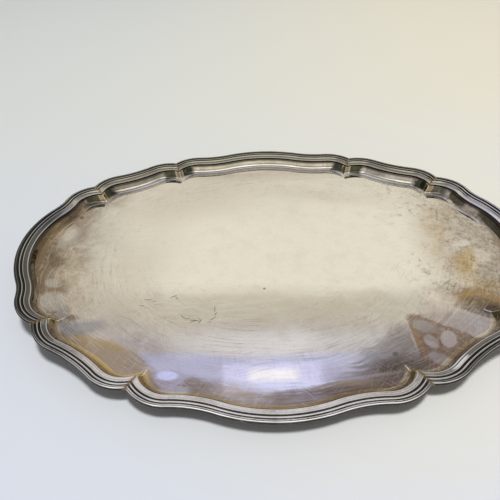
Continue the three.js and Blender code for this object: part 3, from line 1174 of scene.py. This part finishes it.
@dataclass
class TrayBody:
    """The raised sheet: well, wall and flange, in millimetres."""

    outline: Outline
    sheet: float = 1.2
    well_depth: float = 9.7
    wall_slope: float = 62.0
    foot_radius: float = 6.0
    bend_radius: float = 1.8
    flange_slope: float = 18.8
    flange_width: float = 7.8
    lip_radius: float = 0.85
    seat_gap: float = 0.3
    flat_half_width: float = 105.0
    floor_rings: int = 44
    floor_crowding: float = 1.8
    ridge_height: float = 0.22
    ridge_width: float = 1.0
    ridge_start: float = 11.0
    ridge_length: float = 10.0
    ridge_overlap: float = 4.0
    ridge_rows: int = 8
    dent_height: float = 0.05
    dent_fade: float = 20.0
    bend_steps: int = 8
    wall_steps: int = 6
    foot_steps: int = 18
    pad_shares: tuple[float, float, float] = (0.66, 0.33, 0.08)

    @property
    def lip_level(self) -> float:
        """Height of the lip's crest over the table."""
        return self.sheet + self.well_depth

    def flange_top(self, place: np.ndarray | float) -> np.ndarray | float:
        """Height of the flange's upper face at a place outwards."""
        seat = -2 * self.lip_radius - self.seat_gap
        return seat + (place + self.lip_radius) * math.tan(math.radians(self.flange_slope))

    def face(self, depth: float) -> np.ndarray:
        """One face of the section, from the flange's edge down to the wall's foot.

        Args:
            depth: how far the face lies under the upper one.

        Returns:
            Rows of place and height.
        """
        flange, slope = math.radians(self.flange_slope), math.radians(self.wall_slope)
        bend_x = -self.lip_radius + self.bend_radius * math.sin(flange)
        bend_z = self.flange_top(-self.lip_radius) - self.bend_radius * math.cos(flange)
        foot_z = self.foot_radius - self.well_depth
        drop = bend_z + self.bend_radius * math.cos(slope) - foot_z + self.foot_radius * math.cos(slope)
        foot_x = (bend_x - self.bend_radius * math.sin(slope) - drop / math.tan(slope)
                  - self.foot_radius * math.sin(slope))
        edge = self.flange_width - self.lip_radius
        bend = round_points(bend_x, bend_z, self.bend_radius - depth, 90 + self.flange_slope,
                            90 + self.wall_slope, self.bend_steps)
        foot = round_points(foot_x, foot_z, self.foot_radius + depth, self.wall_slope - 90, -90,
                            self.foot_steps)
        wall = np.linspace(bend[-1], foot[0], self.wall_steps)[1:-1]
        start = np.array([[edge, self.flange_top(edge) - depth / math.cos(flange)]])
        return np.concatenate([start, bend, wall, foot])

    def floor(self, foot: np.ndarray, height: float) -> list[np.ndarray]:
        """Rings of the floor, from the wall's foot to the flat middle.

        Args:
            foot: the ring at the wall's foot.
            height: height of the face in the flat middle.

        Returns:
            The rings, each with rows of x, y and z.
        """
        side, end = self.outline.side_cusp[1], self.outline.end_cusp[0]
        angle = np.arctan2(foot[:, 1] / side, foot[:, 0] / end)
        pad = np.stack([self.outline.flat_half_length * np.cos(angle),
                        self.flat_half_width * np.sin(angle)], -1)
        rings = []
        for i in range(1, self.floor_rings + 1):
            share = (i / self.floor_rings) ** self.floor_crowding
            flat = foot[:, :2] * (1 - share) + pad * share
            rings.append(np.c_[flat, height + self.outline.rise(flat[:, 0])])
        for share in self.pad_shares:
            rings.append(np.c_[pad * share, np.full(len(pad), height)])
        return rings

    def _ridges(self, points: np.ndarray) -> np.ndarray:
        """Height of the small ridges that run from each corner into the well.

        Args:
            points: rows of x, y and z.

        Returns:
            One height a row.
        """
        height = np.zeros(len(points))
        for corner, outward in self.outline.mitres():
            away = points[:, :2] - corner
            along = -(away @ outward) - self.ridge_start
            aside = away @ np.array([outward[1], -outward[0]])
            fade = np.clip(1 - along / self.ridge_length, 0, 1) ** 2 * (along > -self.ridge_overlap)
            height += self.ridge_height * fade * np.exp(-((aside / self.ridge_width) ** 2))
        return height

    def _dents(self, points: np.ndarray) -> np.ndarray:
        """Height of the shallow waves that hammering and use leave in the well.

        Args:
            points: rows of x, y and z.

        Returns:
            One height a row.
        """
        x, y = points[:, 0], points[:, 1]
        broad = np.sin(x / 31 + 1.3 * np.sin(y / 47)) * np.sin(y / 27 + 0.9)
        slanting = 0.6 * np.sin(x / 17 - y / 23 + 2.1)
        across = 0.5 * np.sin(y / 14 + x / 60)
        return self.dent_height * (broad + slanting + across)

    def build(self) -> bpy.types.Object:
        """Makes the body's mesh.

        Returns:
            The piece.
        """
        upper = [self._row(place, height) for place, height in self.face(0.0)]
        lower = [self._row(place, height) for place, height in self.face(self.sheet)]
        upper_floor = self.floor(upper[-1], self.sheet)
        lower_floor = self.floor(lower[-1], 0.0)
        for ring in upper[-self.ridge_rows:] + upper_floor:
            ring[:, 2] += self._ridges(ring)
        for ring in upper_floor:
            inwards = np.linalg.norm(ring[:, :2] - upper[-1][:, :2], axis=1)
            fade = np.clip(inwards / self.dent_fade, 0, 1)
            ring[:, 2] += self._dents(ring) * fade
        rows = [*upper_floor[::-1], *upper[::-1], *lower, *lower_floor]
        count = len(rows[0])
        faces = quads(len(rows), count, joined_rows=False, joined_points=True)
        last = (len(rows) - 1) * count
        faces.append(tuple(range(count))[::-1])
        faces.append(tuple(range(last, last + count)))
        points = np.concatenate(rows)
        edge = np.tile(upper[0][:, :2], (len(rows), 1))
        wall = np.linalg.norm(points[:, :2] - edge, axis=1)
        fields = {"wall": wall, "joint": self.outline.aside(points)}
        return mesh_piece("tray_sheet", points, faces, fields)

    def _row(self, place: float, height: float) -> np.ndarray:
        """A ring of the section, swept round the outline at a place outwards."""
        return self.lifted(self.outline.ring(place), height)

    def lifted(self, flat: np.ndarray, height: float) -> np.ndarray:
        """Flat points set at a height over the lip's crest, with the salver's rise."""
        return np.c_[flat, self.lip_level + height + self.outline.rise(flat[:, 0])]


@dataclass(frozen=True)
class Reed:
    """A round of the border's section, darkened towards its sides by tarnish and by painted shade and
    painted dark reflection where its marks say.

    The place is outwards from the lip's crest and the crest's height is over it, both in millimetres.
    The ends are its first and last angle, in degrees. The marks are angles, rising, and how dark it is
    painted there, for tarnish and painted shade together.
    """

    place: float
    crest: float
    radius: float
    ends: Pair
    steps: int
    marks: Marks

    def points(self) -> np.ndarray:
        """Rows of place and height along the round."""
        return round_points(self.place, self.crest - self.radius, self.radius, *self.ends, self.steps)

    def tarnish_and_painted_shade(self) -> np.ndarray:
        """One value of tarnish and painted shade for each of the points."""
        return np.interp(np.linspace(*self.ends, self.steps + 1), *zip(*self.marks))


@dataclass
class Border:
    """The reeded border, in eight lengths cut to mitres, in millimetres."""

    outline: Outline
    body: TrayBody
    gap: float = 0.2
    # The reeds darken towards their sides: partly tarnish towards the hollows, partly painted dark
    # reflection.
    small_reed: Reed = Reed(3.45, 1.7, 0.5, (160, 40), 8, ((35, 1.0), (65, 0.0), (150, 0.0), (190, 1.0)))
    reed: Reed = Reed(6.15, 2.3, 0.8, (160, 10), 14, ((5, 1.0), (35, 0.0), (125, 0.0), (160, 1.0)))
    # On the edge bead the dark below 42 degrees, the dark line over its crest from 84 to 95 degrees and the
    # grey from 103 to 114 are painted shade and painted dark reflection; from 126 up it is tarnish towards
    # the hollow.
    edge: Reed = Reed(9.2, 3.1, 1.76, (170, -90), 40, (
        (42, 1.0), (54, 0.0), (76, 0.0), (84, 0.8), (95, 0.8), (103, 0.25), (114, 0.25), (126, 1.0)))
    lip_ends: Pair = (190, 70)
    lip_steps: int = 12
    # The lip darkens down its inner side into the wall: partly tarnish, partly painted shade under the lip.
    lip_marks: Marks = ((70, 0.3), (82, 0.0), (150, 0.0), (185, 1.0))
    slope_start: Pair = (0.9, 0.05)
    slope_hollow: float = 0.15
    slope_marks: Marks = ((0.0, 0.5), (0.15, 0.12), (0.7, 0.1), (0.95, 0.15))
    valley: Pair = (4.75, 1.2)
    curve_steps: int = 8
    apron_depth: float = 0.5

    def section(self) -> tuple[np.ndarray, np.ndarray]:
        """The closed section, clockwise, and how dark each point is painted, for tarnish and painted shade
        together.

        Returns:
            Rows of place and height, and one value of tarnish and painted shade a row.
        """
        radius = self.body.lip_radius
        inner = self.body.flange_width - radius + self.body.seat_gap
        seat_lip, seat_inner = (self.body.flange_top(p) + self.body.seat_gap for p in (-radius / 2, inner))
        lip = Reed(0.0, 0.0, radius, self.lip_ends, self.lip_steps, self.lip_marks)
        slope, slope_tarnish_and_painted_shade = self._slope(self.small_reed.points()[0])
        hollow = self._hollow(self.small_reed.points()[-1], self.reed.points()[0])
        foot = self.edge.crest - 2 * self.edge.radius - self.apron_depth
        parts = [
            (np.array([[-radius / 2, seat_lip]]), np.ones(1)), (lip.points(), lip.tarnish_and_painted_shade()),
            (slope, slope_tarnish_and_painted_shade), (self.small_reed.points(), self.small_reed.tarnish_and_painted_shade()),
            (hollow, np.ones(len(hollow))), (self.reed.points(), self.reed.tarnish_and_painted_shade()),
            (self.edge.points(), self.edge.tarnish_and_painted_shade()),
            (np.array([[inner, foot], [inner, seat_inner]]), np.ones(2)),
        ]
        points, tarnish_and_painted_shade = zip(*parts)
        return np.concatenate(points), np.concatenate(tarnish_and_painted_shade)

    def _slope(self, end: np.ndarray) -> tuple[np.ndarray, np.ndarray]:
        """The hollow slope from the lip up to the small reed.

        Args:
            end: the small reed's first point.

        Returns:
            Rows of place and height without the end, and one value of tarnish and painted shade a row.
        """
        share = np.linspace(0, 1, self.curve_steps + 1)[:-1]
        points = np.outer(1 - share, self.slope_start) + np.outer(share, end)
        points[:, 1] -= 4 * self.slope_hollow * share * (1 - share)
        return points, np.interp(share, *zip(*self.slope_marks))

    def _hollow(self, start: np.ndarray, end: np.ndarray) -> np.ndarray:
        """The valley between the two reeds.

        Args:
            start: the small reed's last point.
            end: the large reed's first point.

        Returns:
            Rows of place and height, without both ends.
        """
        share = np.linspace(0, 1, self.curve_steps + 1)[1:-1, None]
        pull = 2 * np.array(self.valley) - (start + end) / 2
        return (1 - share) ** 2 * start + 2 * share * (1 - share) * pull + share ** 2 * end

    def build(self, lobe: Lobe) -> bpy.types.Object:
        """Makes one length of border.

        Args:
            lobe: the lobe that it runs along.

        Returns:
            The piece.
        """
        section, tarnish_and_painted_shade = self.section()
        rows = [self.body.lifted(lobe.course(place, self.gap), height) for place, height in section]
        count, size = len(rows[0]), len(rows)
        faces = quads(size, count, joined_rows=True, joined_points=False)
        faces.append(tuple(k * count for k in range(size))[::-1])
        faces.append(tuple(k * count + count - 1 for k in range(size)))
        points = np.concatenate(rows)
        fields = {"tarnish_and_painted_shade": np.repeat(tarnish_and_painted_shade, count), "joint": self.outline.aside(points)}
        return mesh_piece(lobe.name + "_moulding", points, faces, fields)


@dataclass(frozen=True)
class Pane:
    """A soft-edged bright pane of the room.

    Both spans say where it starts, is full, is still full and ends: across along X, as a share of the
    direction, and upright in degrees over the far horizon.
    """

    across: Span
    upright: Span
    colour: Colour


@dataclass
class Studio:
    """Camera, table, room and lamp.

    The room's stops are pairs of an angle over the far horizon, in degrees, and a colour. From there
    upwards it is pale, then dim, bright just past the zenith, dim again and pale behind the viewer.
    Of the painted pool of light on the table only the shape is read.
    """

    focal_pixels: float = 440.0
    centre: Pair = (239.6, 249.3)
    yaw: float = -0.0363
    pitch: float = 0.7103
    roll: float = -0.0478
    distance: float = 428.9
    target: tuple[float, float, float] = (-27.36, -5.54, 10.9)
    sensor: float = 36.0
    clip_start: float = 0.01
    table_half: float = 4.0
    table_clearance: float = 0.05
    table_roughness: float = 0.6
    # The table's pale colour with painted light: cool at the near left, warm at the far right.
    table_left_painted_light: Colour = (0.75, 0.80, 0.90)
    table_right_painted_light: Colour = (0.86, 0.87, 0.89)
    table_far_left_painted_light: Colour = (0.77, 0.79, 0.76)
    table_far_right_painted_light: Colour = (0.90, 0.85, 0.69)
    # A painted pool of light on the table round the salver, warm at the right.
    painted_light_pool: Stain = Stain(60, -10, 290, 216, 0, STRAW, 1.0, 0.30)
    painted_light_pool_strength: float = 0.5
    painted_light_pool_left: Colour = (0.76, 0.78, 0.76)
    painted_light_pool_right: Colour = (0.92, 0.88, 0.73)
    room: tuple[tuple[float, Colour], ...] = (
        (0, (0.70, 0.67, 0.60)), (29, (0.70, 0.67, 0.59)), (38, (0.86, 0.84, 0.77)),
        (46, (0.87, 0.85, 0.78)), (50, (0.80, 0.78, 0.74)), (52.5, (0.66, 0.65, 0.70)),
        (55, (0.55, 0.53, 0.60)), (60, (0.46, 0.44, 0.50)), (66, (0.42, 0.41, 0.42)),
        (72, (0.36, 0.35, 0.33)), (97, (0.36, 0.35, 0.31)), (103, (1.40, 1.40, 1.36)),
        (124, (1.40, 1.40, 1.34)), (130, (0.45, 0.44, 0.38)), (146, (0.35, 0.34, 0.28)),
        (154, (0.80, 0.76, 0.64)), (172, (1.00, 0.95, 0.80)), (180, (0.30, 0.29, 0.26)))
    panes: tuple[Pane, ...] = (
        Pane((-0.29, -0.22, 0.15, 0.26), (53.9, 54.4, 66.0, 74.0), (0.58, 0.61, 0.92)),
        Pane((-0.16, -0.02, 0.10, 0.20), (50.2, 52.0, 53.9, 54.6), (0.77, 0.76, 0.84)),
        Pane((-0.073, -0.069, 0.130, 0.165), (55.0, 55.2, 58.7, 58.9), (0.78, 0.82, 1.26)),
        Pane((-0.030, -0.005, 0.080, 0.110), (55.6, 55.9, 57.1, 57.5), (1.1, 1.1, 1.3)))
    left_low: Colour = (0.13, 0.13, 0.11)
    left_high: Colour = (0.50, 0.48, 0.47)
    right_side: Colour = (0.30, 0.29, 0.26)
    soft_light: Colour = (0.24, 0.24, 0.245)
    backdrop: Colour = (0.82, 0.82, 0.80)
    lamp_size: float = 0.9
    lamp_power: float = 137.0
    lamp_place: tuple[float, float, float] = (0.30, -0.30, 4.5)

    def camera(self) -> None:
        """Places the camera at the photograph's viewpoint."""
        cos_p, sin_p = math.cos(self.pitch), math.sin(self.pitch)
        ahead = Vector((math.sin(self.yaw) * cos_p, math.cos(self.yaw) * cos_p, -sin_p))
        right = Vector((math.cos(self.yaw), -math.sin(self.yaw), 0.0))
        up = right.cross(ahead)
        cos_r, sin_r = math.cos(self.roll), math.sin(self.roll)
        right, up = cos_r * right + sin_r * up, cos_r * up - sin_r * right
        place = (Vector(self.target) - self.distance * ahead) * MM
        data = bpy.data.cameras.new("camera")
        data.sensor_width = self.sensor
        data.lens = self.focal_pixels / IMAGE_WIDTH * self.sensor
        data.shift_x = (IMAGE_WIDTH / 2 - self.centre[0]) / IMAGE_WIDTH
        data.shift_y = (self.centre[1] - IMAGE_WIDTH / 2) / IMAGE_WIDTH
        data.clip_start = self.clip_start
        camera = bpy.data.objects.new("camera", data)
        turn = Matrix((right, up, -ahead)).transposed().to_4x4()
        camera.matrix_world = Matrix.Translation(place) @ turn
        bpy.context.scene.collection.objects.link(camera)
        bpy.context.scene.camera = camera

    def table(self) -> None:
        """Lays a pale table top under the salver, its colour tinted by painted light: cool at the near left,
        warm at the far right, with a painted pool of warm light round the salver.
        """
        half = self.table_half / MM
        low = -self.table_clearance
        corners = np.array([(-half, -half, low), (half, -half, low), (half, half, low), (-half, half, low)])
        top = mesh_piece("table_top", corners, [(0, 1, 2, 3)], {})
        material, g = blank_material("table_top")
        place = g.node("TexCoord").outputs["Object"]
        x, y, _ = g.node("SeparateXYZ", {0: place}).outputs
        # Painted light: the table is tinted cool at the near left and warm at the far right.
        right = g.step(x, -0.45, 0.55)
        near_colour = g.mix(right, self.table_left_painted_light, self.table_right_painted_light)
        # Painted light: a pool of warm light on the table round the salver.
        painted_light_pool = g.times(g.oval((x, y), self.painted_light_pool), self.painted_light_pool_strength)
        painted_light_pool_colour = g.mix(g.step(x, -0.15, 0.22), self.painted_light_pool_left, self.painted_light_pool_right)
        near_colour = g.mix(painted_light_pool, near_colour, painted_light_pool_colour)
        far_colour = g.mix(right, self.table_far_left_painted_light, self.table_far_right_painted_light)
        colour = g.mix(g.step(y, -0.30, 0.45), near_colour, far_colour)
        shader = g.node("BsdfPrincipled", {"Base Color": colour, "Roughness": self.table_roughness})
        g.node("OutputMaterial", {"Surface": shader.outputs[0]})
        top.data.materials.append(material)

    def surroundings(self) -> None:
        """Lights the salver by a soft room, which only its reflections show."""
        world = bpy.data.worlds.new("room")
        bpy.context.scene.world = world
        world.use_nodes = True
        g = Graph(world.node_tree)
        toward = g.node("TexCoord").outputs["Generated"]
        x, y, z = g.node("SeparateXYZ", {0: toward}).outputs
        climb = g.times(g.math("ARCTAN2", z, y), 180.0 / math.pi)
        colour = self._stops(g, climb)
        for pane in self.panes:
            colour = g.mix(self._share(g, x, climb, pane), colour, pane.colour)
        left_side = g.mix(g.step(climb, 52.0, 72.0), self.left_low, self.left_high)
        colour = g.mix(g.step(x, -0.36, -0.62), colour, left_side)
        colour = g.mix(g.step(x, 0.45, 0.95, 0.0, 0.65), colour, self.right_side)
        path = g.node("LightPath")
        seen = path.outputs["Is Camera Ray"]
        colour = g.mix(path.outputs["Is Diffuse Ray"], colour, self.soft_light)
        colour = g.mix(seen, colour, self.backdrop)
        waver = g.times(g.moved(0.0, (g.spots(toward, 3.2, 3.0, 0.6), 1.0)),
                        g.step(climb, 62.0, 78.0, 0.0, 2.0))
        strength = g.math("MULTIPLY_ADD", waver, g.math("SUBTRACT", 1.0, seen), 1.0)
        sky = g.node("Background", {"Color": colour, "Strength": strength})
        g.node("OutputWorld", {"Surface": sky.outputs[0]})

    def _share(self, g: Graph, x: Socket, climb: Socket, pane: Pane) -> Value:
        """How much of a pane shows in a direction.

        Args:
            g: the world's graph.
            x: the direction's share along X.
            climb: the direction's angle over the far horizon, in degrees.
            pane: the pane.

        Returns:
            One in the pane, nought outside.
        """
        parts = []
        for value, (start, full, still, end) in ((x, pane.across), (climb, pane.upright)):
            parts += [g.step(value, start, full), g.step(value, end, still)]
        return g.times(*parts)

    def _stops(self, g: Graph, climb: Socket) -> Socket:
        """The room's colour by its stops.

        Args:
            g: the world's graph.
            climb: the direction's angle over the far horizon, in degrees.

        Returns:
            The colour.
        """
        ramp = g.node("ValToRGB", {"Fac": g.math("DIVIDE", climb, 180.0)})
        elements = ramp.color_ramp.elements
        while len(elements) < len(self.room):
            elements.new(0.5)
        for element, (degrees, colour) in zip(elements, self.room):
            element.position = degrees / 180
            element.color = (*colour, 1.0)
        return ramp.outputs[0]

    def lamp(self) -> None:
        """Hangs one soft lamp over the salver."""
        data = bpy.data.lights.new("soft_lamp", "AREA")
        data.shape = "DISK"
        data.size = self.lamp_size
        data.energy = self.lamp_power
        lamp = bpy.data.objects.new("soft_lamp", data)
        lamp.location = self.lamp_place
        lamp.rotation_euler = (-lamp.location).to_track_quat("-Z", "Y").to_euler()
        lamp.visible_glossy = False
        bpy.context.scene.collection.objects.link(lamp)


def dress(piece: bpy.types.Object, node: str, material: bpy.types.Material) -> None:
    """Gives a piece its finish and its body, and hides the CAD node that it stands for.

    Args:
        piece: the piece.
        node: the CAD node that it stands for.
        material: its finish.
    """
    piece.data.materials.append(material)
    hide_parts(node)
    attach(piece, "root")
    LOG.info("piece %s: %d points", piece.name, len(piece.data.vertices))


def main() -> None:
    """Builds the salver round its frame and sets the studio."""
    logging.basicConfig(level=logging.INFO, format="%(message)s")
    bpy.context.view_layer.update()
    bpy.context.scene.view_settings.view_transform = "Standard"
    studio = Studio()
    studio.camera()
    studio.table()
    studio.surroundings()
    studio.lamp()
    outline = Outline()
    body = TrayBody(outline)
    dress(body.build(), "tray_body", SheetSilver().make())
    border = Border(outline, body)
    finish = BorderSilver().make()
    for lobe in outline.lobes:
        dress(border.build(lobe), lobe.name, finish)


if __name__ == "__main__":
    main()
